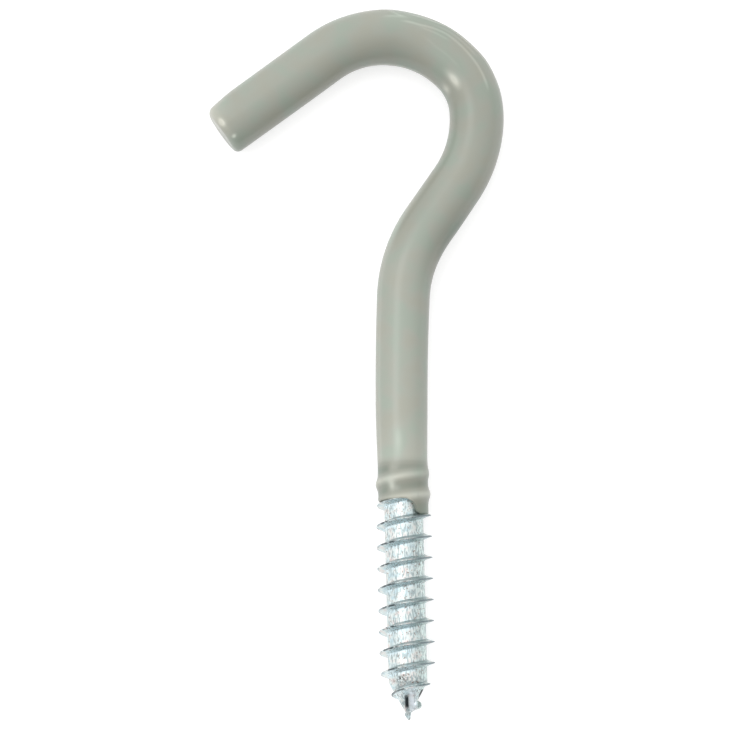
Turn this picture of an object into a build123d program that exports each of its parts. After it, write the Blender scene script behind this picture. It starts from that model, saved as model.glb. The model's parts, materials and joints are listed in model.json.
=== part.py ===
from build123d import *
from math import atan2, cos, radians, sin, tan
import os

# A screw hook: one bent steel rod with a rolled wood-screw thread, its hook end dipped in vinyl.
# It lies flat. The thread's axis runs along +Y from the point to the hook, and +Z is up.
# The origin is on the surface it lies on, under the middle of its length and width. Millimetres.

# Overall, stock and thread
inch = 25.4
overall_length = 4.25 * inch
tip_across = 5.61
wire_diameter = inch / 4
pitch = inch / 8
root_diameter = 5.82
crest_diameter = 8.35
flank_angle = 20
thread_length = 1.5 * inch
runout_length = 0.9

# Where the ridge passes the +X side on its first full turn, up from the tip
first_crest = 5.43

# The point: a cone with the ridge winding in over it
cone_start = 0.45
cone_end = 5.8
taper_end = 7.6
taper_power = 1.3
ridge_start = 0.04
least_foot = 0.04
least_rise = 0.1

# The ridge's foot is sunk into the core, and its helix is drawn in short spans
foot_sink = 0.3
spans_per_turn = 4
slope_step = 0.01

# The ridge fades into the rod over its last turns
fade_start = 29.0
fade_end = 39.9
fade_power = 1.5

# The chip notch along the front of the point: a lopsided vee
notch_foot = 1.75
notch_top = 4.4
notch_left = 0.65
notch_right = 1.1
notch_depth = 0.75
notch_clear = 1.5

# The rod's line in its own plane, from the thread up: straights, and bends by radius and angle
shank_straight = 48.78
shank_sway = (100.0, 3.5)
upper_straight = 9.2
neck_bend = (20.85, 33.2)
neck_straight = 7.4
loop_bends = ((17.0, 41.8), (10.2, 35.4), (15.2, 84.3))
arm_straight = 19.5

# The vinyl skin's outer radius: thin on the shank, and thicker from the neck on
skin_bottom = 30.0
shank_skin_radius = 3.8
hook_skin_radius = 4.05
end_skin = 1.0
end_rounding = 1.3

# The skin swells over the covered turns of the ridge: its round back by width, and its ends
swell_first = 8.7
swell_full = 10.1
swell_last = 11.0
swell_radius = 4.06
swell_width = 1.9
swell_depth = 0.5
swell_dive = 0.5
swell_edges = (-1, -0.4, 0.4, 1)

# The hem lies along the ridge for one turn, then steps up to the next, in degrees from +X
hem_lift = 0.25
hem_turn = 9
hem_step_start = 60
hem_step_end = 84
hem_points = 30
hem_degrees = [hem_step_start + 360 * point / hem_points for point in range(hem_points)]
hem_radii = (1.5, 6.0)
hem_drop = 9

crest_radius = crest_diameter / 2
root_radius = root_diameter / 2
wire_radius = wire_diameter / 2
runout_end = thread_length + runout_length

# The lying rod rests on its thread, so its axis is one crest radius up
tip = Vector(tip_across, -overall_length / 2, crest_radius)
rod_plane = Plane(origin=tip, x_dir=(1, 0, 0), z_dir=(0, 0, 1))
axis_plane = Plane(origin=tip, x_dir=(1, 0, 0), z_dir=(0, 1, 0))

# The notch follows the cone's front line, with its plane's y pointing into the steel
cone_slope = atan2(root_radius, cone_end - cone_start)
notch_rise = (notch_foot - cone_start) * tan(cone_slope)
notch_plane = Plane(
    origin=tip + Vector(0, notch_foot, notch_rise),
    x_dir=(1, 0, 0),
    z_dir=(0, cos(cone_slope), sin(cone_slope)),
)


def crest_at(height):
    """Radius of the ridge's crest at a height above the tip."""
    if height < taper_end:
        return crest_radius * (1 - (1 - height / taper_end) ** taper_power)
    faded = max(height - fade_start, 0) / (fade_end - fade_start)
    return crest_radius - (crest_radius - wire_radius) * faded**fade_power


def foot_at(height):
    """Radius of the ridge's foot, sunk a little into the core."""
    below = height - crest_radius * tan(radians(flank_angle)) / 2
    cone_radius = root_radius * (below - cone_start) / (cone_end - cone_start)
    return max(min(cone_radius, root_radius) - foot_sink, least_foot)


def round_axis(radius, degrees, height):
    """A point at a radius, an angle from +X turning as the thread does, and a height."""
    angle = radians(degrees)
    return axis_plane.from_local_coords(Vector(radius * cos(angle), radius * sin(angle), height))


def ridge_point(turn, side):
    """A point on one of the ridge's three edges: its low foot -1, its crest 0, its high foot 1."""
    height = first_crest + pitch * turn
    foot = foot_at(height)
    crest = max(crest_at(height), foot + least_rise)
    half_width = (crest - foot) * tan(radians(flank_angle))
    return round_axis(foot if side else crest, 360 * turn, height + side * half_width)


def swell_point(turn, across):
    """A point on the swell's rounded back over a covered turn, from -1 below to 1 above."""
    faded = max(turn - swell_full, 0) / (swell_last - swell_full)
    radius = swell_radius - swell_depth * across**2 - swell_dive * faded**2
    return round_axis(radius, 360 * turn, first_crest + pitch * turn + across * swell_width / 2)


def hem_point(radius, degrees):
    """A point on the hem's outline, where degrees run from the step's start for one turn."""
    if degrees < hem_step_end:
        rise = (degrees - hem_step_start) / (hem_step_end - hem_step_start)
        low_turn = hem_turn - 1 - hem_step_start / 360
        turn = low_turn + rise * (1 - (hem_step_end - hem_step_start) / 360)
    else:
        turn = hem_turn - degrees / 360
    return round_axis(radius, -degrees, first_crest + pitch * turn + hem_lift)


def helix_spans(point_at, first_turn, last_turn):
    """A helical line as smooth splines, each a short span of a turn."""
    span_count = round((last_turn - first_turn) * spans_per_turn)
    span = (last_turn - first_turn) / span_count
    lines = []
    for index in range(span_count):
        start = first_turn + index * span
        points = [point_at(start + span * part) for part in (0, 0.5, 1)]
        slopes = [
            point_at(end + slope_step) - point_at(end - slope_step) for end in (start, start + span)
        ]
        lines.append(Spline(points, tangents=slopes))
    return lines


def helical_ridge(edge_points, first_turn, last_turn):
    """A ridge winding round the axis: its helical edges with a ruled face from each to the next."""
    edges = [helix_spans(point_at, first_turn, last_turn) for point_at in edge_points]
    faces = []
    for spans, next_spans in zip(edges, edges[1:] + edges[:1]):
        for near, far in zip(spans, next_spans):
            faces.append(Face.make_surface_from_curves(near, far))
    for index, end in ((0, 0), (-1, 1)):
        corners = [spans[index] @ end for spans in edges]
        faces.append(Face(Wire.make_polygon(corners, close=True)))
    return Solid(Shell(faces))


def rod_line(start_height, arm_length):
    """The rod's line from a height on the shank, round the bends, to the end of the arm."""
    with BuildLine(rod_plane):
        runs = [Line((0, start_height), (0, shank_straight))]
        for (bend_radius, bend_angle), straight in (
            (shank_sway, upper_straight),
            (neck_bend, neck_straight),
        ):
            runs.append(JernArc(runs[-1] @ 1, runs[-1] % 1, bend_radius, -bend_angle))
            runs.append(Line(runs[-1] @ 1, (runs[-1] @ 1) + (runs[-1] % 1) * straight))
        for bend_radius, bend_angle in loop_bends:
            runs.append(JernArc(runs[-1] @ 1, runs[-1] % 1, bend_radius, bend_angle))
        runs.append(Line(runs[-1] @ 1, (runs[-1] @ 1) + (runs[-1] % 1) * arm_length))
    return runs


# The ridge that rolling raises from the rod: a low flank and a high flank that meet in its crest
ridge = helical_ridge(
    [lambda turn, at=at: ridge_point(turn, at) for at in (-1, 0, 1)],
    (ridge_start - first_crest) / pitch,
    (fade_end - first_crest) / pitch,
)

# The swell that the ridge raises in the skin over it
swell = helical_ridge(
    [lambda turn, at=at: swell_point(turn, at) for at in swell_edges],
    swell_first,
    swell_last,
)

# The steel rod: the threaded core with its point, the bent wire above it, and the ridge
with BuildPart() as steel_hook:
    with BuildSketch(rod_plane):
        with BuildLine():
            Polyline(
                (0, cone_start),
                (root_radius, cone_end),
                (root_radius, thread_length),
                (wire_radius, runout_end),
                (0, runout_end),
                close=True,
            )
        make_face()
    revolve(axis=Axis(tip, (0, 1, 0)))
    steel_line = Wire(rod_line(runout_end, arm_straight - end_skin))
    with BuildSketch(Plane(origin=steel_line @ 0, x_dir=(0, 0, 1), z_dir=steel_line % 0)):
        Circle(wire_radius)
    sweep(path=steel_line)
    add(ridge)
    with BuildSketch(notch_plane):
        with BuildLine():
            Polyline(
                (0, notch_depth),
                (-notch_left, 0),
                (-notch_left, -notch_clear),
                (notch_right, -notch_clear),
                (notch_right, 0),
                close=True,
            )
        make_face()
    extrude(amount=(notch_top - notch_foot) / cos(cone_slope), mode=Mode.SUBTRACT)

steel_hook.part.label = "steel_hook"
os.makedirs("parts", exist_ok=True)
export_step(steel_hook.part, "parts/steel_hook.step")

# The vinyl skin: swept round the rod, closed over the arm's end, its hem on the thread
with BuildPart() as vinyl_coat:
    skin_line = rod_line(skin_bottom, arm_straight)
    shank_runs, upper_run, hook_runs = skin_line[:2], skin_line[2], skin_line[3:]
    for runs, radius in ((shank_runs, shank_skin_radius), (hook_runs, hook_skin_radius)):
        with BuildSketch(Plane(origin=runs[0] @ 0, x_dir=(0, 0, 1), z_dir=runs[0] % 0)):
            Circle(radius)
        sweep(path=Wire(runs))
    for end, radius in enumerate((shank_skin_radius, hook_skin_radius)):
        with BuildSketch(Plane(origin=upper_run @ end, x_dir=(0, 0, 1), z_dir=upper_run % end)):
            Circle(radius)
    sweep(path=upper_run, multisection=True)
    fillet(vinyl_coat.edges().sort_by(Axis.X)[0], radius=end_rounding)
    add(swell)

    hem_rims = []
    for radius in hem_radii:
        with BuildLine() as rim:
            Spline([hem_point(radius, degrees) for degrees in hem_degrees], periodic=True)
        hem_rims.append(rim.edges()[0])
    hem_face = Face.make_surface_from_curves(*hem_rims)
    extrude(hem_face, amount=hem_drop, dir=(0, -1, 0), mode=Mode.SUBTRACT)
    add(steel_hook.part, mode=Mode.SUBTRACT)

vinyl_coat.part.label = "vinyl_coat"
export_step(vinyl_coat.part, "parts/vinyl_coat.step")
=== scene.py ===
# %% [markdown]
# # A vinyl-dipped screw hook
#
# The real thing is a length of 1/4 inch steel rod. One end is rolled into a wood-screw thread and
# plated with bright zinc. The other end is bent into an open hook and dipped in liquid vinyl, which
# cures to a soft grey skin. This lesson dresses its CAD model for a photograph: the frame is loaded
# first, then the camera, the two pieces, their finishes, the floor and the lights are made.

import json
from math import cos, pi, radians, sin, tan

import bmesh
import bpy
import numpy as np
from mathutils import Matrix, Vector, noise


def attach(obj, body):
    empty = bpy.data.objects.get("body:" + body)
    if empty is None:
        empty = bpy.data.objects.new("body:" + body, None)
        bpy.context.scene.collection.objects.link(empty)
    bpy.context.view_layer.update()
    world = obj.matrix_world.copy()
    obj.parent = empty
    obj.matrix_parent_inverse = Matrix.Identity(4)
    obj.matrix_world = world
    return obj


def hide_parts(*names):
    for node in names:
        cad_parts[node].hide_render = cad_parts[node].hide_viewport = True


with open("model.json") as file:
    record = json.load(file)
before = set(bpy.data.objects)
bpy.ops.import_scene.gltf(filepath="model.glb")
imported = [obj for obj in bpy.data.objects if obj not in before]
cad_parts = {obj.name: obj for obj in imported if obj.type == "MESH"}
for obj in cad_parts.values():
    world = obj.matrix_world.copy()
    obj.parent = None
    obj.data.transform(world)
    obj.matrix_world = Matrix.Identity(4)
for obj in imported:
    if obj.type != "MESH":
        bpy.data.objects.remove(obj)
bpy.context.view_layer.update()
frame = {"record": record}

# %% [markdown]
# ## Where things are
#
# Lengths are written in millimetres, as on a drawing, and turned to metres where a mesh is made.
# The thread's axis comes from the record: it runs along +Y, one crest radius above the floor. The
# drawing's heights are counted from the point, up along that axis.

# %% The drawing's frame
MM = 0.001
INCH = 25.4
overall_length = 4.25 * INCH
pitch = INCH / 8
wire_radius = INCH / 8

mounts = {mount["name"]: mount for mount in frame["record"]["mounts"]}
axis_x, _, axis_z = (value / MM for value in mounts["screw_thread"]["pos_m"])
tip = np.array((axis_x, -overall_length / 2, axis_z))
print("The point is at", tip.round(3), "mm")

# %% [markdown]
# ## The camera
#
# A long lens far away keeps the sides of a thin object parallel. The camera looks down on the
# lying hook and leans a little towards its point, so the upper flanks of the thread close up and
# the lower ones open. A small roll sets the shank as it stands in the picture.

# %% Camera
camera_distance = 1200.0
camera_lean = 7.6
camera_roll = 1.39
view_width = 110.7
view_left, view_up = 4.83, 53.33
metres_seen = 10

view_centre = Vector((axis_x - view_left, tip[1] + view_up, axis_z))
toward_camera = Vector((0, -sin(radians(camera_lean)), cos(radians(camera_lean))))
picture_up = Vector((sin(radians(camera_roll)), cos(radians(camera_roll)), 0))
picture_right = picture_up.cross(toward_camera).normalized()
picture_up = toward_camera.cross(picture_right)

camera_data = bpy.data.cameras.new("Camera")
camera_data.lens = camera_data.sensor_width * camera_distance / view_width
camera_data.clip_end = metres_seen
camera = bpy.data.objects.new("Camera", camera_data)
bpy.context.collection.objects.link(camera)
camera_place = Matrix.Translation((view_centre + toward_camera * camera_distance) * MM)
camera_turn = Matrix((picture_right, picture_up, toward_camera)).transposed().to_4x4()
camera.matrix_world = camera_place @ camera_turn
bpy.context.scene.camera = camera
print("Lens:", round(camera_data.lens, 1), "mm at", camera_distance / 1000, "m")

# %% [markdown]
# ## The thread's shape as a formula
#
# Rolling squeezes steel up between two grooves, so a wood screw's ridge is thin, sharp and as deep
# as a fifth of the rod, and the core between the turns is a plain cylinder. A formula gives the
# steel's radius anywhere: at an angle round the axis and a height along it. The same formula later
# tells the vinyl how far it has to swell.

# %% Crest and core
thread_length = 1.5 * INCH
root_radius = 2.91
crest_radius = 4.175
run_out_length = 0.9

# The point is a cone, and the ridge grows over it and fades into the rod over its last turns
cone_start, cone_end = 0.35, 5.8
thinnest_core = 0.02
taper_end, taper_power = 7.6, 1.3
fade_start, fade_end, fade_power = 29.0, 39.9, 1.5


def ramp(away, width):
    """From 0 to 1 as a distance grows from nothing to a width."""
    return np.clip(away / width, 0, 1)


def crest_at(height):
    """Radius of the ridge's crest where it passes a height."""
    tapered = np.clip(1 - height / taper_end, 0, 1) ** taper_power
    faded = ramp(height - fade_start, fade_end - fade_start) ** fade_power
    return crest_radius * (1 - tapered) - (crest_radius - wire_radius) * faded


def core_at(height):
    """Radius of the core: the cone of the point, the root, and the plain rod above the thread."""
    cone = root_radius * (height - cone_start) / (cone_end - cone_start)
    core = np.clip(cone, thinnest_core, root_radius)
    return core + (wire_radius - root_radius) * ramp(height - thread_length, run_out_length)


for height in (2, 10, 32):
    print("Height", height, "mm: crest", crest_at(height).round(2), "and core", core_at(height).round(2))

# %% Radius of the bare steel
first_crest = 5.43
crest_flat = 0.09
flank_slope = tan(radians(20))
root_fillet = 0.22


def blend_up(first, second, width):
    """The larger of two radii, with a small fillet where they meet."""
    overlap = np.clip(width - np.abs(first - second), 0, None)
    return np.maximum(first, second) + overlap**2 / (4 * width)


def steel_radius(degrees, height):
    """Radius of the steel at an angle from +X, anticlockwise seen from the point, and a height."""
    turn = -np.asarray(degrees) / 360
    below = np.floor((height - first_crest) / pitch - turn) + turn
    radius = core_at(height)
    for crest_turn in (below, below + 1):
        crest_height = first_crest + pitch * crest_turn
        away = np.clip(np.abs(height - crest_height) - crest_flat / 2, 0, None)
        ridge = np.where(crest_height > 0, crest_at(crest_height) - away / flank_slope, 0)
        radius = blend_up(radius, ridge, root_fillet)
    return radius


for height in (2, 5, 10, 20, 32):
    around = steel_radius(np.arange(0, 360, 2), height)
    print("Height", height, "mm: radius", around.min().round(2), "to", around.max().round(2))

# %% [markdown]
# ## From rows of points to a piece
#
# Both pieces are skins that wrap round a line, so both are made as rows of points with faces
# between each row and the next. This gives more control than a modifier: a row can follow a
# helix, or the edge of the vinyl, exactly. Doubled points at a tip are merged afterwards.

# %% Helper: a mesh from rows of points
merge_distance = 0.002


def weave_mesh(name, points, faces, **marks):
    """A smooth piece from points in millimetres, faces, and named marks with a value a point."""
    mesh = bpy.data.meshes.new(name)
    mesh.from_pydata((np.asarray(points) * MM).tolist(), [], faces)
    for mark, values in marks.items():
        layer = mesh.attributes.new(mark, "FLOAT", "POINT")
        layer.data.foreach_set("value", np.asarray(values, dtype=float).ravel())
    surface = bmesh.new()
    surface.from_mesh(mesh)
    bmesh.ops.remove_doubles(surface, verts=surface.verts, dist=merge_distance * MM)
    bmesh.ops.recalc_face_normals(surface, faces=surface.faces)
    for face in surface.faces:
        face.smooth = True
    surface.to_mesh(mesh)
    surface.free()
    piece = bpy.data.objects.new(name, mesh)
    bpy.context.collection.objects.link(piece)
    print(name, "has", len(mesh.vertices), "points and", len(mesh.polygons), "faces")
    return piece


def ring_faces(ring_count, ring_size, first_point=0):
    """Faces between closed rings of points, in the order that the rings were added."""
    faces = []
    for ring in range(ring_count - 1):
        base = first_point + ring * ring_size
        for spot in range(ring_size):
            after = (spot + 1) % ring_size
            faces.append((base + spot, base + after, base + ring_size + after, base + ring_size + spot))
    return faces


print("Two rings of three points are joined by", ring_faces(2, 3))

# %% [markdown]
# ## The rod's line
#
# A bending jig leaves straight runs and round bends of a few set radii. A curve object could draw
# that line, but the pieces have to ask where the rod is at any distance from the point, and which
# way it heads there. So the line is walked in short steps, turning as it goes.

# %% Walk along the rod: the length of each run, and the degrees that it turns to the left
shank_length = 39.47
rod_runs = (
    (shank_length, 0),
    (24.6, -3.5),
    (12.1, -33.2),
    (7.03, 0),
    (12.4, 41.8),
    (6.3, 35.4),
    (22.36, 84.3),
    (19.38, 0),
)
walk_step = 0.05


def walk_rod():
    """Distances from the point, the places there, and the headings in radians."""
    place, heading, distance = tip[:2].copy(), pi / 2, 0.0
    distances, places, headings = [distance], [place.copy()], [heading]
    for length, turn in rod_runs:
        steps = round(length / walk_step)
        for _ in range(steps):
            heading += radians(turn) / steps / 2
            place += np.array((cos(heading), sin(heading))) * length / steps
            heading += radians(turn) / steps / 2
            distance += length / steps
            distances.append(distance)
            places.append(place.copy())
            headings.append(heading)
    return np.array(distances), np.array(places), np.array(headings)


rod_distances, rod_places, rod_headings = walk_rod()
rod_length = rod_distances[-1]
print("The rod's line is", round(rod_length, 1), "mm long and ends at", rod_places[-1].round(2))


# %% Points round the rod
def around_rod(distance, degrees, radius, flatten=1.0):
    """Points round the rod: 0 degrees is the outside of the bend, 90 is up, away from the floor."""
    centre_x = np.interp(distance, rod_distances, rod_places[:, 0])
    centre_y = np.interp(distance, rod_distances, rod_places[:, 1])
    heading = np.interp(distance, rod_distances, rod_headings)
    outward = radius * np.cos(np.radians(degrees))
    upward = radius * np.sin(np.radians(degrees)) * flatten
    x = centre_x + outward * np.sin(heading)
    y = centre_y - outward * np.cos(heading)
    z = tip[2] + np.clip(upward, -crest_radius, crest_radius)
    return np.stack((x, y, z), axis=-1)


print("Outside of the rod's end:", around_rod(rod_length, 0, wire_radius).round(2))

# %% [markdown]
# ## The zinc-plated steel
#
# On the real hook the thread is rolled, not cut. Its crest is a thin lip that wanders a little,
# because the metal doesn't fill the rolls evenly. A screw modifier could wind a profile up the
# axis, but it can't grow the ridge over the point or fade it into the rod. The mesh follows the
# helix instead, by the formula. Every row runs along the ridge, so the sharp crest needs few points
# and never looks stepped. Rows lie close together on the crest and in the fillets, and far apart in
# the plain root.

# %% Rows along the ridge, and columns from one crest up to the next
columns_per_turn = 120
lowest_turn = -1 - first_crest / pitch
highest_turn = (shank_length - first_crest) / pitch - 1
column_count = round((highest_turn - lowest_turn) * columns_per_turn) + 1
column_turns = np.linspace(lowest_turn, highest_turn, column_count)

half_rows = np.array((0, 0.045, 0.09, 0.17, 0.27, 0.38, 0.46, 0.52, 0.6, 0.72, 0.95, 1.25)) / pitch
half_way = 0.5
row_places = np.concatenate((half_rows, [half_way], 1 - half_rows[:0:-1]))
row_count = len(row_places)
print("The thread has", column_count, "columns of", row_count, "points")

# %% [markdown]
# The rod's end was sheared, so the nose is a small bead and not a needle. On the right of it the
# ridge starts as a blunt lobe, where the rolls first caught the rod. Both are soft bumps in the
# radius, and so is the wander of the crest, which is a slow and a quick noise up the turns.

# %% Wander, lobe and bead
wanders = ((1.7, 3.1, 0.035), (9.0, 7.7, 0.02))
lobe_reach, lobe_height = 1.95, 2.3
lobe_turn, lobe_length = 48, 0.8
bead_radius, bead_height, bead_length = 0.26, 0.5, 0.42


def crest_wander(turn):
    """How far the crest strays, by noises with a speed up the turns, an offset and a height."""
    return sum(rise * noise.noise(Vector((turn * speed, offset, 0))) for speed, offset, rise in wanders)


def turned_from(degrees, middle):
    """The angle from one direction round to another, from -180 to 180."""
    return (degrees - middle + 180) % 360 - 180


def nose_radius(degrees, height):
    """The blunt lobe where the ridge starts, on the right of the point, and the bead on its nose."""
    round_lobe = turned_from(degrees, 0) / lobe_turn
    along_lobe = (height - lobe_height) / lobe_length
    lobe = lobe_reach * np.exp(-(round_lobe**4) - along_lobe**4)
    along_bead = (height - bead_height) / bead_length
    return np.maximum(lobe, bead_radius * np.exp(-(along_bead**4)))


strays = [crest_wander(turn) for turn in column_turns]
print("The crest strays from", round(min(strays), 3), "to", round(max(strays), 3), "mm")

# %% Points of the threaded end
nose_start, nose_length = 0.005, 0.05
standing_share = 0.5


def thread_column(turn):
    """One column's points, and from 0 to 1 how far the ridge stands up at its foot."""
    height = np.clip(first_crest + pitch * (turn + row_places), nose_start, None)
    radius = steel_radius(-360 * turn, height)
    lip = ramp(radius - core_at(height), crest_radius - root_radius)
    wander = np.where(row_places > half_way, crest_wander(turn + 1), crest_wander(turn))
    radius = np.minimum(radius + lip * wander, crest_radius)
    radius = np.maximum(radius, nose_radius(-360 * turn, height))
    radius = radius * ramp(height - nose_start, nose_length)
    return around_rod(height, -360 * turn, radius), ramp(lip[0], standing_share)


thread_columns, ridge_stands = zip(*(thread_column(turn) for turn in column_turns))
steel_points = np.concatenate(thread_columns)
thread_size = len(steel_points)
print("The threaded end has", thread_size, "points")


# %% Faces of the threaded end
def thread_faces():
    """Faces that close each column onto the next, and its last row onto the first a turn later."""
    faces = []
    for column in range(column_count - 1):
        for row in range(row_count):
            low = column * row_count + row
            high = low + 1 if row < row_count - 1 else (column + columns_per_turn) * row_count
            if high + row_count < thread_size:
                faces.append((low, low + row_count, high + row_count, high))
    return faces


def thread_cap(centre):
    """Faces from the thread's open upper edge, one turn long and one step up, to a point inside."""
    first_open = column_count - columns_per_turn - 1
    edge = [column * row_count + row_count - 1 for column in range(first_open, column_count)]
    edge += [(column_count - 1) * row_count + row for row in range(row_count - 2, -1, -1)]
    return [(start, end, centre) for start, end in zip(edge, edge[1:] + edge[:1])]


steel_faces = thread_faces()
print("The thread has", len(steel_faces), "faces without its cap")

# %% [markdown]
# A wood screw's point has a chip notch, a lopsided vee cut along its front so that the point
# bites. A boolean cut would leave long thin faces there. Here the points in front are pressed down
# to the vee's floor instead, and the rows stay whole. Shade is painted dark on the vee's steep left
# wall, as a painted shadow in a slit at the right of its top, and in a soft spot on the cone's left.

# %% Chip notch
# The heights of its ends and their slope, its lowest line, the width to each side, and its depth
notch_foot, notch_top, notch_run = 1.3, 4.1, 0.25
notch_bed, notch_left, notch_right = -0.04, 0.6, 1.5
notch_depth = 0.75

# Painted shade: on the wall left of its lowest line, as a shadowed slit on the core's right, and in a
# soft spot on its left
wall_foot, wall_top, wall_run = 1.8, 3.8, 0.3
wall_left, wall_fade, bed_fade = -0.72, 0.35, 0.1
slit_height, slit_reach, slit_width, slit_fade = 4.1, 0.5, 0.3, 0.1
dim_across, dim_height, dim_width, dim_length, dim_share = -0.95, 2.4, 0.3, 0.5, 0.4
shade_behind = -0.2


def cut_notch(points):
    """Press the chip notch into the front of the point, and mark where shade is painted, from 0 to 1."""
    across, height, front = (points - tip).T
    side = np.where(across < notch_bed, notch_bed + notch_left, notch_right - notch_bed)
    depth = notch_depth * np.clip(1 - np.abs(across - notch_bed) / side, 0, 1)
    ends = ramp(np.minimum(height - notch_foot, notch_top - height), notch_run)
    cut = (depth > 0) & (ends > 0) & (front > 0)
    pressed = np.minimum(points[:, 2], tip[2] + (core_at(height) - depth * ends))
    points[:, 2] = np.where(cut, pressed, points[:, 2])
    wall = ramp(notch_bed + bed_fade - across, bed_fade) * ramp(across - wall_left, wall_fade)
    wall = wall * ramp(np.minimum(wall_top - height, height - wall_foot), wall_run)
    # The chip is a painted shadow: a dark slit on the core's right, near the start of the ridge
    chip = ramp(across - core_at(height) + slit_width, slit_fade)
    chip = chip * (np.abs(height - slit_height) < slit_reach)
    dim = ((across - dim_across) / dim_width) ** 2 + ((height - dim_height) / dim_length) ** 2
    beside = np.maximum(chip, dim_share * np.exp(-dim)) * (front > shade_behind)
    return np.maximum(cut * wall, beside)


# The notch's wall, the slit and the soft spot get painted shade, from 0 to 1
bare_steel = cut_notch(steel_points)
print("The notch's wall, the chip and the rubbed place take", (bare_steel > 0.5).sum(), "points")

# %% [markdown]
# The plate isn't the same all over, and some of its colour is painted light. Painted light makes
# it pale under each crest, and painted shade darkens the corner over one. The lips are darker as
# painted shade, most on the left side and on the point, and the right side is scored by the rolls
# and darkened there, partly as painted shade. A texture would need the thread unwrapped. Instead
# each point carries marks from 0 to 1 that say where it lies, and the zinc's shader reads them.

# %% Marks across one turn of the ridge
under_reach, under_fade, under_lip = 1.0, 0.3, 0.06
corner_place, corner_width = 0.4, 0.22
lip_width = 0.1

above_crest = row_places * pitch
below_crest = pitch - above_crest
turn_marks = {
    "under": ramp(under_reach - below_crest, under_fade) * (below_crest > under_lip),
    "over": np.exp(-(((above_crest - corner_place) / corner_width) ** 2)),
    "lip": np.minimum(above_crest, below_crest) < lip_width,
}
under, over, lip = (np.outer(ridge_stands, row).ravel() for row in turn_marks.values())
print("Points on the lips:", (lip > 0.5).sum())

# %% Marks across the front of the thread, in millimetres to the right of the axis
right_start, right_fade = 0.6, 1.6
left_start, left_fade = -1.0, 2.0
front_strip = (-3.3, 0.6, 3.2, 0.4)
# The strip on the left whose lips get painted shade, and the height that it reaches
dark_strip = (-3.7, 0.3, -1.1, 0.6)
dark_top = 31

# On the point: painted shade on its lips, a painted highlight on the notch's floor, painted shade on the
# start of the ridge, and a dark spot
point_left, point_top = -0.5, 5.4
bed_place, bed_size = (0.6, 2.9), (0.55, 1.5)
start_left, start_fade, start_top = 1.25, 0.3, 3.2
dark_spot_place, dark_spot_size = (-0.95, 6.1, 2.7), (0.9, 0.5, 1.4)


def strip(across, left, left_fade, right, right_fade):
    """A strip along the thread: 1 between its two sides, and fading to 0 inside each of them."""
    return ramp(across - left, left_fade) * ramp(right - across, right_fade)


across, up_axis, forward = (steel_points - tip).T
in_front = forward > 0
# The right side gets the rolls' scoring and painted shade, which darkens its root and lips
right = ramp(across - right_start, right_fade)
front = strip(across, *front_strip)
bed = ((across - bed_place[0]) / bed_size[0]) ** 4 + ((up_axis - bed_place[1]) / bed_size[1]) ** 4
scar = ((steel_points - tip - dark_spot_place) / dark_spot_size) ** 2
steel_marks = {
    "front": front,
    "front_right": front * right,
    # Painted light under each crest, and painted shade in the corner over one and along the lips
    "under_crest": front * under,
    "over_crest": front * over,
    "right_lip": lip * right,
    "left_lip": lip * ramp(left_start - across, left_fade),
    "dark_lip": lip * strip(across, *dark_strip) * (up_axis < dark_top),
    "point_lip": lip * in_front * (across < point_left) * (up_axis < point_top),
    # A painted highlight on the notch's floor, and painted shade on the start of the ridge
    "notch_floor": in_front * np.exp(-bed),
    "start_lobe": in_front * ramp(across - start_left, start_fade) * (up_axis < start_top),
    "bare_steel": bare_steel,
    "scar": np.exp(-scar.sum(axis=1)),
}
print("Marks on the thread:", ", ".join(steel_marks))

# %% [markdown]
# Inside the vinyl the rod is plain wire. It is a row of rings round the rod's line, closed at both
# ends, and it starts inside the thread's core, so no gap shows between the two.

# %% Steel piece: thread, point and rod
rod_ring = 48
wire_rings = 111
end_skin = 1.0
sunk = 0.05
rod_start, core_end, wire_start = 34.0, 38.0, 39.3

wire_end = rod_length - end_skin
ring_angles = np.arange(rod_ring) * 360 / rod_ring
rod_rings = [(rod_start, 0.0), (rod_start, root_radius - sunk), (core_end, root_radius - sunk)]
rod_rings += [(place, wire_radius) for place in np.linspace(wire_start, wire_end, wire_rings)]
rod_rings += [(wire_end, 0.0)]

rod_points = [around_rod(place, ring_angles, radius) for place, radius in rod_rings]
cap_centre = around_rod(core_end, ring_angles[:1], 0.0)
steel_faces += ring_faces(len(rod_rings), rod_ring, thread_size)
steel_faces += thread_cap(thread_size + rod_ring * len(rod_rings))
steel_points = np.concatenate([steel_points] + rod_points + [cap_centre])
plain = np.zeros(len(steel_points) - thread_size)
steel_marks = {mark: np.concatenate((values, plain)) for mark, values in steel_marks.items()}
plated_steel = weave_mesh("zinc_plated_steel_rod", steel_points, steel_faces, **steel_marks)

# %% [markdown]
# ## The dipped vinyl skin
#
# The hot hook is lowered into liquid vinyl, pulled out and cured. The skin is thicker where it ran
# and gathered, here round the top of the bend, and it shows the covered turns of the thread as low
# swells. A solidify modifier would make it the same all over, so a formula gives its radius
# instead, at a distance along the rod and an angle round it, as for the steel.

# %% The skin's radius at distances along the rod, and how it slims at the outside of the arm's end
skin_marks = (
    (30.0, 3.72),
    (39.5, 3.76),
    (46.0, 3.9),
    (64.0, 3.98),
    (76.2, 4.02),
    (83.2, 4.08),
    (95.6, 3.99),
    (101.9, 4.05),
    (113.5, 4.27),
    (124.3, 4.18),
    (143.8, 4.13),
)
slim_start, slim_length, slim_depth, slim_power = 138.5, 4.7, 0.42, 1.5


def plain_skin(distance):
    """The skin's radius before its swells, bumps and flow lines."""
    return np.interp(distance, *np.array(skin_marks).T)


def slimmed(distance, degrees):
    """How much thinner the skin gets on the outside of the bend, towards the arm's end."""
    outside = np.clip(np.cos(np.radians(degrees)), 0, 1)
    return slim_depth * ramp(distance - slim_start, slim_length) ** slim_power * outside


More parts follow.
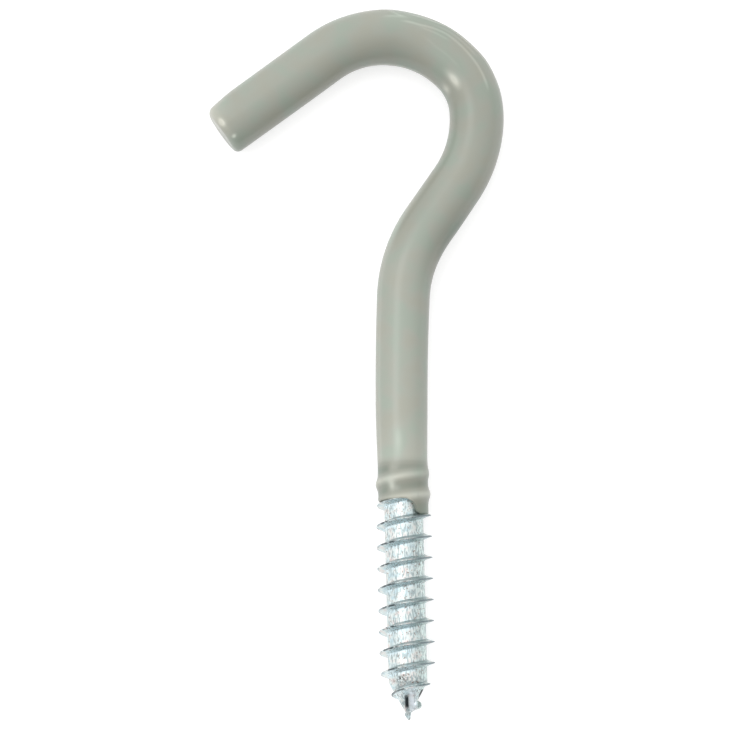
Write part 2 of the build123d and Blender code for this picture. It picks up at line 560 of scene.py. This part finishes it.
print("The skin is", (plain_skin(113.5) - wire_radius).round(2), "mm thick at the top of the bend")

# %% Swells over the covered turns
swell_first, swell_last = 8.4, 10.35
swell_rise, swell_fade = 0.15, 0.6
swell_height, swell_reach = 0.36, 0.85
turns_near_hem = range(7, 13)


def swell_over_thread(degrees, height):
    """How far the skin rises over the covered turns of the ridge."""
    turn = -np.asarray(degrees) / 360
    swell = 0
    for start in turns_near_hem:
        crest_turn = start + turn % 1
        away = height - first_crest - pitch * crest_turn
        covered = ramp(crest_turn - swell_first, swell_rise)
        covered = covered * ramp(swell_last - crest_turn, swell_fade)
        swell = swell + covered * swell_height * np.exp(-((away / swell_reach) ** 2))
    return swell


print("Highest swell in front:", swell_over_thread(90, np.linspace(30, 42, 121)).max().round(2), "mm")

# %% Fine lines where the liquid ran: how far each stands up, and its marks by distance and angle
flow_lines = (
    (0.09, ((115.9, 18), (114.2, 27), (113.5, 35), (112.7, 44), (111.4, 47))),
    (0.06, ((115.0, 51), (113.4, 48), (111.9, 48))),
    (0.08, ((112.6, 58), (109.8, 58), (107.9, 53), (106.2, 50), (102.5, 53), (96.9, 56))),
    (0.05, ((110.2, 64), (107.8, 62), (104.9, 60))),
    (0.08, ((111.6, 34), (108.5, 33), (106.6, 25), (104.0, 28), (99.0, 24))),
    (0.04, ((108.4, 43), (105.2, 40), (101.0, 42))),
    (0.04, ((109.8, 22), (106.5, 15), (102.5, 16), (98.0, 12))),
    (0.03, ((109.0, 80), (106.2, 89), (101.3, 91))),
)
flow_width, flow_fade = 0.2, 1.2
flow_radius = 4.1


def flow_over_bend(distance, degrees):
    """How far the fine lines stand up that the liquid left as it ran."""
    rise = 0
    for height, marks in flow_lines:
        places, angles = np.array(sorted(marks)).T
        turned = turned_from(degrees, np.interp(distance, places, angles))
        away = turned * pi / 180 * flow_radius / flow_width
        ends = ramp(np.minimum(distance - places[0], places[-1] - distance), flow_fade)
        rise = rise + height * ends * np.exp(-(away**2))
    return rise


print("The skin has", len(flow_lines), "flow lines")

# %% Soft bumps: distance along the rod, angle, half length, half width in degrees, and height
skin_bumps = (
    (76.0, 0, 7.0, 45, 0.32),
    (105.3, 15, 5.0, 45, 0.16),
    (101.0, 0, 1.5, 40, 0.1),
    (95.5, 0, 5.0, 60, 0.18),
    (114.4, 0, 2.2, 40, 0.085),
    (116.0, 180, 9.0, 60, -0.14),
)

# The least vinyl over a crest, the fillet where it blends in, and where the plain wire starts
film, film_fillet = 0.07, 0.1
plain_start = 39.4


def spots(marks, distance, degrees):
    """The sum of soft round spots on the skin."""
    total = 0
    for place, middle, half_length, half_width, amount in marks:
        turned = turned_from(degrees, middle)
        away = ((distance - place) / half_length) ** 2 + (turned / half_width) ** 2
        total = total + amount * np.exp(-away)
    return total


def skin_radius(distance, degrees):
    """The skin's outer radius, never less than the steel under it and a thin film."""
    radius = plain_skin(distance) + swell_over_thread(degrees, distance)
    radius = radius + flow_over_bend(distance, degrees) + spots(skin_bumps, distance, degrees)
    steel = np.where(distance < plain_start, steel_radius(degrees, distance), wire_radius)
    return blend_up(radius - slimmed(distance, degrees), steel + film, film_fillet)


around = skin_radius(105.0, np.arange(0, 360, 2))
print("Round the bend the skin's radius is", around.min().round(2), "to", around.max().round(2), "mm")

# %% [markdown]
# Vinyl looks pale where it is thin and dark where it fills a groove. The mesh therefore carries the
# skin's thickness at each point, with painted light in it. The swells read thinner, partly for their
# thin film and partly as a painted highlight. The flow lines and some soft spots are taken off it as
# painted highlights, and the grooves and other soft spots are added to it as painted shade.

# %% The skin's thickness with painted light in it: spots of painted highlight taken off and of painted shade added, set out as the bumps
painted_light_spots = (
    # Painted highlights on the inside of the bend and on the shank
    (100.7, 116, 1.7, 9, 1.1),
    (100.3, 148, 1.2, 10, 0.7),
    (42.0, 98, 1.8, 9, 0.22),
    (37.8, 114, 0.7, 9, 0.55),
    (34.95, 116, 0.85, 10, 1.0),
    # Painted highlights on the arm's end, and a painted reflection round its rim
    (142.95, 82, 0.32, 9, 1.2),
    (142.65, 122, 0.3, 4, 1.1),
    (143.6, 90, 0.9, 75, 0.4),
    # A painted highlight on the top of the bend, and a painted reflection along its inner edge
    (113.5, 48, 4.0, 22, 0.2),
    (112.5, 176, 9.0, 7, 0.6),
    # Painted shade on the bend and the neck, with painted light on the neck's left side
    (113.0, 112, 5.0, 35, -0.2),
    (96.0, 88, 8.0, 28, -0.2),
    (75.5, 8, 6.0, 38, -0.5),
    (75.3, 120, 5.0, 22, -0.25),
    (75.0, 165, 5.0, 20, 0.35),
    (56.0, 15, 14.0, 25, -0.2),
    (95.0, 125, 7.0, 35, -0.22),
    (80.0, 145, 7.0, 35, -0.22),
    # A thin line of painted reflection along the rod's inner side
    (52.0, 149, 22.0, 5, 0.16),
)
# The flow lines are lightened as a painted highlight, and the swells partly for their thin film and
# partly as a painted highlight
flow_highlight, swell_thin_and_highlight = 6.0, 1.75
# Where the grooves under the skin end and fade, and how much painted shade darkens them beyond their
# thickness
groove_top, groove_fade, groove_thick_and_shade = 39.6, 2.0, 0.8


def skin_thickness_and_painted_light(distance, degrees):
    """The skin's thickness in millimetres, with painted light in it: pale where thin or lit, dark over
    grooves.
    """
    thickness = skin_radius(distance, degrees) - core_at(distance)
    # The grooves under the hem are darkened beyond their thickness: painted shade
    groove = ramp(groove_top - distance, groove_fade)
    swell = swell_over_thread(degrees, distance) / swell_height
    # Painted highlights on the flow lines, and the spots of painted highlight and painted shade
    pale = flow_highlight * flow_over_bend(distance, degrees) + spots(painted_light_spots, distance, degrees)
    return thickness * (1 + groove_thick_and_shade * groove) - swell_thin_and_highlight * swell - pale


print("In front at 36 mm the skin reads as", skin_thickness_and_painted_light(36.0, 90.0).round(2), "mm thick")

# %% [markdown]
# The skin's lower edge, the hem, isn't level: it lies along the ridge for one turn, which held the
# liquid back, and steps up to the next turn in front. It is drawn from a dozen marks, read off the
# picture in front and carried round the back along the ridge.

# %% The hem: an angle round the shank, and the height of the edge there
hem_marks = (
    (55, 31.1),
    (58, 31.9),
    (63, 32.3),
    (71, 32.63),
    (82, 33.0),
    (99, 33.11),
    (141, 32.98),
    (180, 33.1),
    (270, 32.0),
    (360, 31.0),
    (405, 30.75),
    (415, 31.1),
)


def hem_at(degrees):
    """Height of the hem at an angle round the shank."""
    angles, heights = np.array(hem_marks).T
    turned = angles[0] + (np.asarray(degrees) - angles[0]) % 360
    return np.interp(turned, angles, heights)


skin_ring = 216
skin_angles = np.arange(skin_ring) * 360 / skin_ring
hem = hem_at(skin_angles)
print("The hem lies", hem.min().round(2), "to", hem.max().round(2), "mm above the point")

# %% [markdown]
# The mesh is one chain of rings round the rod's line: down the inside of the skin to the hem, round
# its lip, up the shank and round to the arm's end. The first rings follow the hem and are evened
# out up the shank. Each row of the mesh is a ring of points with the skin's thickness at them, with
# painted highlights and painted shade in it.

# %% Inside of the skin, and the hem's rounded lip
inner_rings = 28
hem_tucks = (1.2, 0.5)
lip_radius, lip_steps = 0.3, 7


def inner_wall():
    """Rows inside the skin, from the arm's end back to the thread and down to the hem."""
    rings = [around_rod(wire_end, skin_angles, 0.0)]
    for place in np.linspace(plain_start, wire_end, inner_rings)[::-1]:
        rings.append(around_rod(place, skin_angles, wire_radius - sunk))
    for tuck in hem_tucks:
        radius = steel_radius(skin_angles, hem + tuck) - sunk
        rings.append(around_rod(hem + tuck, skin_angles, radius))
    return [(ring, np.full(skin_ring, film)) for ring in rings]


def hem_lip():
    """Rows round the hem's lip, from the steel to the outside of the skin."""
    outer = skin_radius(hem + lip_radius, skin_angles)
    inner = np.minimum(steel_radius(skin_angles, hem), outer - film)
    curl = np.minimum(lip_radius, outer - inner)
    shade = skin_thickness_and_painted_light(hem + lip_radius, skin_angles)
    rows = []
    for step in range(lip_steps, -1, -1):
        bend = pi / 2 * step / lip_steps
        height = hem + lip_radius * (1 - sin(bend))
        rows.append((around_rod(height, skin_angles, outer - curl * (1 - cos(bend))), shade))
    return rows


skin_rows = inner_wall() + hem_lip()
print("The inside and the lip have", len(skin_rows), "rows")

# %% Outside of the skin
shank_rings, hook_rings = 46, 360
dome_above, dome_below, dome_steps = 1.3, 0.95, 9
dome_lean = 0.5 + 0.5 * np.cos(np.radians(skin_angles))
dome = dome_below + (dome_above - dome_below) * dome_lean
thickest_up = 4.1
end_shares = (0.8, 0.6, 0.4, 0.2, 0)


def flatten_at(place):
    """How much the skin is flattened towards the floor, so that it stays inside the CAD box."""
    return min(1, thickest_up / plain_skin(place.mean()))


def outer_side():
    """Rows from the hem up the shank, and on round the bends to the arm's domed end."""
    rows = []
    for part in np.linspace(0, 1, shank_rings)[1:]:
        place = (hem + lip_radius) * (1 - part) + shank_length * part
        ring = around_rod(place, skin_angles, skin_radius(place, skin_angles))
        rows.append((ring, skin_thickness_and_painted_light(place, skin_angles)))
    for part in np.linspace(0, 1, hook_rings)[1:]:
        place = shank_length * (1 - part) + (rod_length - dome) * part
        ring = around_rod(place, skin_angles, skin_radius(place, skin_angles), flatten_at(place))
        rows.append((ring, skin_thickness_and_painted_light(place, skin_angles)))
    return rows


def arm_end():
    """Rows over the arm's domed end, and on to its middle."""
    radius = skin_radius(rod_length - dome, skin_angles)
    flatten = flatten_at(rod_length - dome)
    rows = []
    for step in range(1, dome_steps + 1):
        bend = pi / 2 * step / dome_steps
        place = rod_length - dome * (1 - sin(bend))
        ring = around_rod(place, skin_angles, radius - dome * (1 - cos(bend)), flatten)
        rows.append((ring, skin_thickness_and_painted_light(place, skin_angles)))
    for share in end_shares:
        ring = around_rod(rod_length, skin_angles, (radius - dome) * share, flatten)
        rows.append((ring, rows[-1][1]))
    return rows


skin_rows += outer_side() + arm_end()
vinyl_skin = weave_mesh(
    "dipped_vinyl_skin",
    np.concatenate([ring for ring, shade in skin_rows]),
    ring_faces(len(skin_rows), skin_ring),
    # The skin's thickness, with painted highlights and painted shade in it
    skin_depth=np.concatenate([shade for ring, shade in skin_rows]),
)

# %% [markdown]
# ## Materials
#
# A finish could be wired up by hand in the shader editor. Here one small function adds a node with
# its settings and links, so that a finish reads as a list from its colour to its relief. Colours are
# written as sRGB hex values, as in a paint program, and one function turns them to the linear
# values that a shader takes.

# %% Helpers for materials
def linear(hex_colour):
    """A colour from sRGB hex, as four linear values."""
    values = [int(hex_colour[spot : spot + 2], 16) / 255 for spot in (1, 3, 5)]
    return [v / 12.92 if v <= 0.04045 else ((v + 0.055) / 1.055) ** 2.4 for v in values] + [1]


def add_node(tree, kind, settings=None, **links):
    """A node with its settings, and its inputs, by name or as _ and a number, set or linked."""
    node = tree.nodes.new("ShaderNode" + kind)
    for setting, value in (settings or {}).items():
        if setting == "stops":
            elements = node.color_ramp.elements
            while len(elements) < len(value):
                elements.new(1.0)
            for element, (place, hex_colour) in zip(elements, value):
                element.position = place
                element.color = linear(hex_colour)
        else:
            setattr(node, setting, value)
    for name, value in links.items():
        socket = node.inputs[int(name[1:]) if name[1:].isdigit() else name.replace("_", " ")]
        if isinstance(value, bpy.types.NodeSocket):
            tree.links.new(value, socket)
        else:
            socket.default_value = value
    return node


def scale_of(size):
    """The scale that gives a noise bumps of a size in millimetres."""
    return 1 / (size * MM)


def new_material(name):
    """A material with an empty principled shader, and its node tree."""
    material = bpy.data.materials.new(name)
    material.use_nodes = True
    return material, material.node_tree, material.node_tree.nodes["Principled BSDF"]


print("The paint value #808080 is", round(linear("#808080")[0], 3), "to a shader")

# %% [markdown]
# ### Dipped vinyl
#
# Plastisol PVC cures with a satin gloss. Its index of refraction is about 1.53, and a roughness
# near 0.3 gives broad soft highlights with no mirror image in them. The skin lets a little light
# through, so it is pale where it is a thin film on the metal and dark where it fills a groove. The
# mesh carries its thickness at each point, and a ramp turns that to a grey: this is cheaper than
# light scattered inside it. The grey leans to green or to sand in clouds about 4 mm wide. The skin
# levels itself while liquid, so its surface only swims a little: shallow ripples 5 mm apart, and an
# orange peel. Real peel is finer than 1 mm and wouldn't show here, so it is drawn 1.4 mm wide.
# The thickness that the ramp reads also holds painted light: painted highlights are taken off it, and
# painted shade is added to it.

# %% Vinyl colour
thin_vinyl, thick_vinyl = 0.1, 1.5
cloud_size = 3.85
grey_stops = ((0.0, "#C3C6BD"), (0.35, "#A5A9A0"), (0.6, "#93978E"), (0.8, "#8C9087"), (1.0, "#7B8379"))
cast_stops = ((0.35, "#F7FFFA"), (0.5, "#FEFDFA"), (0.65, "#FFFBF6"))

vinyl, tree, shader = new_material("satin_dipped_pvc")
place = add_node(tree, "TexCoord").outputs["Object"]
# The ramp turns the thickness, with its painted highlights and painted shade, to a grey
depth = add_node(tree, "Attribute", {"attribute_name": "skin_depth"}).outputs["Fac"]
depth = add_node(tree, "MapRange", Value=depth, From_Min=thin_vinyl, From_Max=thick_vinyl).outputs[0]
grey = add_node(tree, "ValToRGB", {"stops": grey_stops}, Fac=depth)
cloud = add_node(tree, "TexNoise", Vector=place, Scale=scale_of(cloud_size), Detail=1.0).outputs[0]
cast = add_node(tree, "ValToRGB", {"stops": cast_stops}, Fac=cloud)
blend = {"data_type": "RGBA", "blend_type": "MULTIPLY"}
colour = add_node(tree, "Mix", blend, _0=1.0, _6=grey.outputs[0], _7=cast.outputs[0]).outputs[2]
tree.links.new(colour, shader.inputs["Base Color"])
print("Vinyl's greys:", ", ".join(hex_colour for _, hex_colour in grey_stops))

# %% Vinyl surface
ripple_size, ripple_depth = 5.0, 0.08
peel_size, peel_depth = 1.4, 0.03

ripple = add_node(tree, "TexNoise", Vector=place, Scale=scale_of(ripple_size), Detail=1.0).outputs[0]
peel = add_node(tree, "TexNoise", Vector=place, Scale=scale_of(peel_size), Detail=1.0).outputs[0]
relief = add_node(tree, "Bump", Strength=0.15, Distance=ripple_depth * MM, Height=ripple).outputs[0]
relief = add_node(tree, "Bump", Strength=0.1, Distance=peel_depth * MM, Height=peel, Normal=relief)
tree.links.new(relief.outputs[0], shader.inputs["Normal"])
shader.inputs["Roughness"].default_value = 0.29
shader.inputs["IOR"].default_value = 1.53
vinyl_skin.data.materials.append(vinyl)
print("Vinyl is on", vinyl_skin.name)

# %% [markdown]
# ### Bright zinc plate
#
# Zinc is a metal, so it keeps the default index and takes its colour in the reflection: a cool
# near-white with faint blue, green and pink tints, a millimetre wide, where the clear passivate is
# thicker. Rolled steel under thin plate isn't a mirror, and a roughness near 0.45 smears its
# highlights. Rolling lines run along the thread. Real ones are a few hundredths of a millimetre
# apart, so they are drawn 0.19 mm apart to show, and the pits are 0.3 mm wide. The layers of
# colour are laid over the tint one by one: each is a colour, the mark on the mesh that says where
# it may lie, and the noise with its two levels that breaks it up there.
# Several layers are painted light: a pale band under the crests and a highlight on the notch's floor,
# and painted shade in the corners, on the lips, on the right side, on the ridge's start and in the
# notch.

# %% Zinc patterns
tint_size, score_gap, pit_size, patch_size = 1.1, 0.19, 0.3, 0.77
along_thread = (1.0, 0.22, 1.0)
tint_stops = ((0.32, "#C0D4DA"), (0.5, "#DDE5E3"), (0.68, "#DED3D0"))

zinc, tree, shader = new_material("bright_zinc_plate")
place = add_node(tree, "TexCoord").outputs["Object"]
drawn_out = add_node(tree, "VectorMath", {"operation": "MULTIPLY"}, _0=place, _1=along_thread)
tint = add_node(tree, "TexNoise", Vector=place, Scale=scale_of(tint_size), Detail=2.0).outputs[0]
score = add_node(tree, "TexNoise", Vector=drawn_out.outputs[0], Scale=scale_of(score_gap), Detail=1.0)
score = score.outputs[0]
pits = add_node(tree, "TexNoise", Vector=place, Scale=scale_of(pit_size), Detail=1.0).outputs[0]
patch = add_node(tree, "TexNoise", Vector=place, Scale=scale_of(patch_size), Detail=1.0).outputs[0]
colour = add_node(tree, "ValToRGB", {"stops": tint_stops}, Fac=tint).outputs[0]
print("Zinc's tints:", ", ".join(hex_colour for _, hex_colour in tint_stops))

# %% Zinc layers: a colour, the mark where it may lie, the noise, and its levels for none and for all
layers = (
    # Painted light: a pale blue under each crest, on the flank that faces away from the sky
    ("#DCEDF2", "under_crest", patch, 0.2, 0.5),
    # A duller grey on the right side: painted shade
    ("#D2E1DE", "front_right", patch, 0.1, 0.6),
    # Painted shade in the corner over each crest
    ("#A9B7B9", "over_crest", patch, 0.3, 0.55),
    # Dark score lines on the right side, partly scoring and partly painted shade
    ("#6B7874", "front_right", score, 0.49, 0.42),
    ("#A7B5B7", "front", score, 0.5, 0.38),
    ("#94867F", "front", pits, 0.62, 0.72),
    # Painted shade along the lips, darkest on the left and on the point
    ("#808C90", "right_lip", patch, 0.1, 0.3),
    ("#A3AEB2", "left_lip", patch, 0.4, 0.6),
    ("#586165", "dark_lip", patch, 0.38, 0.5),
    ("#5F6669", "point_lip", patch, 0.0, 0.1),
    # A painted highlight on the notch's floor
    ("#EAF2F8", "notch_floor", patch, 0.0, 0.6),
    # Painted shade on the start of the ridge
    ("#8A9A96", "start_lobe", score, 0.65, 0.35),
    # Painted shade on the notch's wall, in the slit and in a soft spot on the cone's left
    ("#33383A", "bare_steel", patch, 0.0, 0.1),
    ("#332F2E", "scar", pits, 0.38, 0.48),
)
for hex_colour, mark, pattern, none, full in layers:
    where = add_node(tree, "Attribute", {"attribute_name": mark}).outputs["Fac"]
    broken = add_node(tree, "MapRange", Value=pattern, From_Min=none, From_Max=full).outputs[0]
    share = add_node(tree, "Math", {"operation": "MULTIPLY"}, _0=where, _1=broken).outputs[0]
    blend = add_node(tree, "Mix", {"data_type": "RGBA"}, _0=share, _6=colour, _7=linear(hex_colour))
    colour = blend.outputs[2]

tree.links.new(colour, shader.inputs["Base Color"])
print("Zinc has", len(layers), "layers of colour")

# %% Zinc surface
grain_size, grain_depth = 0.4, 0.06
score_depth = 0.05

grain = add_node(tree, "TexNoise", Vector=place, Scale=scale_of(grain_size), Detail=3.0).outputs[0]
relief = add_node(tree, "Bump", Strength=0.4, Distance=score_depth * MM, Height=score).outputs[0]
relief = add_node(tree, "Bump", Strength=0.45, Distance=grain_depth * MM, Height=grain, Normal=relief)
tree.links.new(relief.outputs[0], shader.inputs["Normal"])
shader.inputs["Metallic"].default_value = 1.0
shader.inputs["Roughness"].default_value = 0.46
plated_steel.data.materials.append(zinc)
print("Zinc is on", plated_steel.name)

# %% [markdown]
# ## Floor and light
#
# The hook lies on a plain pale sheet. Its colour alone is a little under white, so the part that
# camera, glossy and transmission rays see gets a glow of its own, while the shadow stays. The sky
# is a soft gradient, bright above and beyond the bend and dark behind the point, which gives the
# rod its darker lower side. One small soft lamp up on the left adds the highlight along it.

# %% Floor
floor_half = 2.0
floor_glow = 0.6

floor_mesh = bpy.data.meshes.new("floor")
corners = [(x * floor_half, y * floor_half, 0) for x, y in ((-1, -1), (1, -1), (1, 1), (-1, 1))]
floor_mesh.from_pydata(corners, [], [(0, 1, 2, 3)])
floor = bpy.data.objects.new("floor", floor_mesh)
bpy.context.collection.objects.link(floor)
sheet, tree, shader = new_material("white_sheet")
shader.inputs["Base Color"].default_value = linear("#C8C8C8")
shader.inputs["Roughness"].default_value = 1.0
rays = add_node(tree, "LightPath").outputs
seen = add_node(tree, "Math", {"operation": "ADD"}, _0=rays["Is Camera Ray"], _1=rays["Is Glossy Ray"])
seen = add_node(tree, "Math", {"operation": "ADD"}, _0=seen.outputs[0], _1=rays["Is Transmission Ray"])
glow = add_node(tree, "Math", {"operation": "MULTIPLY"}, _0=seen.outputs[0], _1=floor_glow)
shader.inputs["Emission Color"].default_value = linear("#FFFFFF")
tree.links.new(glow.outputs[0], shader.inputs["Emission Strength"])
floor_mesh.materials.append(sheet)
print("The floor is", 2 * floor_half, "m wide")

# %% Lights
sky_side = Vector((-0.26, 0.68, 0.68)).normalized()
sky_dark, sky_bright = 0.04, 1.58
lamp_place = Vector((-0.42, 0.13, 0.89))
lamp_size, lamp_watts = 0.45, 1.0

world = bpy.data.worlds.new("sky")
bpy.context.scene.world = world
world.use_nodes = True
tree = world.node_tree
direction = add_node(tree, "TexCoord").outputs["Generated"]
facing = add_node(tree, "VectorMath", {"operation": "DOT_PRODUCT"}, _0=direction, _1=sky_side)
facing = facing.outputs["Value"]
level = add_node(tree, "MapRange", Value=facing, From_Min=-1.0, To_Min=sky_dark, To_Max=sky_bright)
tree.links.new(level.outputs[0], tree.nodes["Background"].inputs["Strength"])
tree.nodes["Background"].inputs["Color"].default_value = linear("#FFFFFF")

lamp_data = bpy.data.lights.new("soft_lamp", "AREA")
lamp_data.size = lamp_size
lamp_data.energy = lamp_watts
lamp = bpy.data.objects.new("soft_lamp", lamp_data)
lamp.location = lamp_place
lamp.rotation_euler = lamp_place.to_track_quat("Z", "Y").to_euler()
bpy.context.collection.objects.link(lamp)
print("The lamp is", round(lamp_place.length, 2), "m from the hook")

# %% [markdown]
# ## The pieces in place
#
# Both pieces stand for their CAD solids and ride on the one body, and the CAD solids are hidden.
# The dressing must not grow the part.

# %% Finish
bpy.context.scene.view_settings.view_transform = "Standard"
for piece, node, slot in (
    (plated_steel, "steel_hook", "zinc_plated_steel"),
    (vinyl_skin, "vinyl_coat", "grey_vinyl"),
):
    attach(piece, "root")
    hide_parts(node)

bpy.context.view_layer.update()
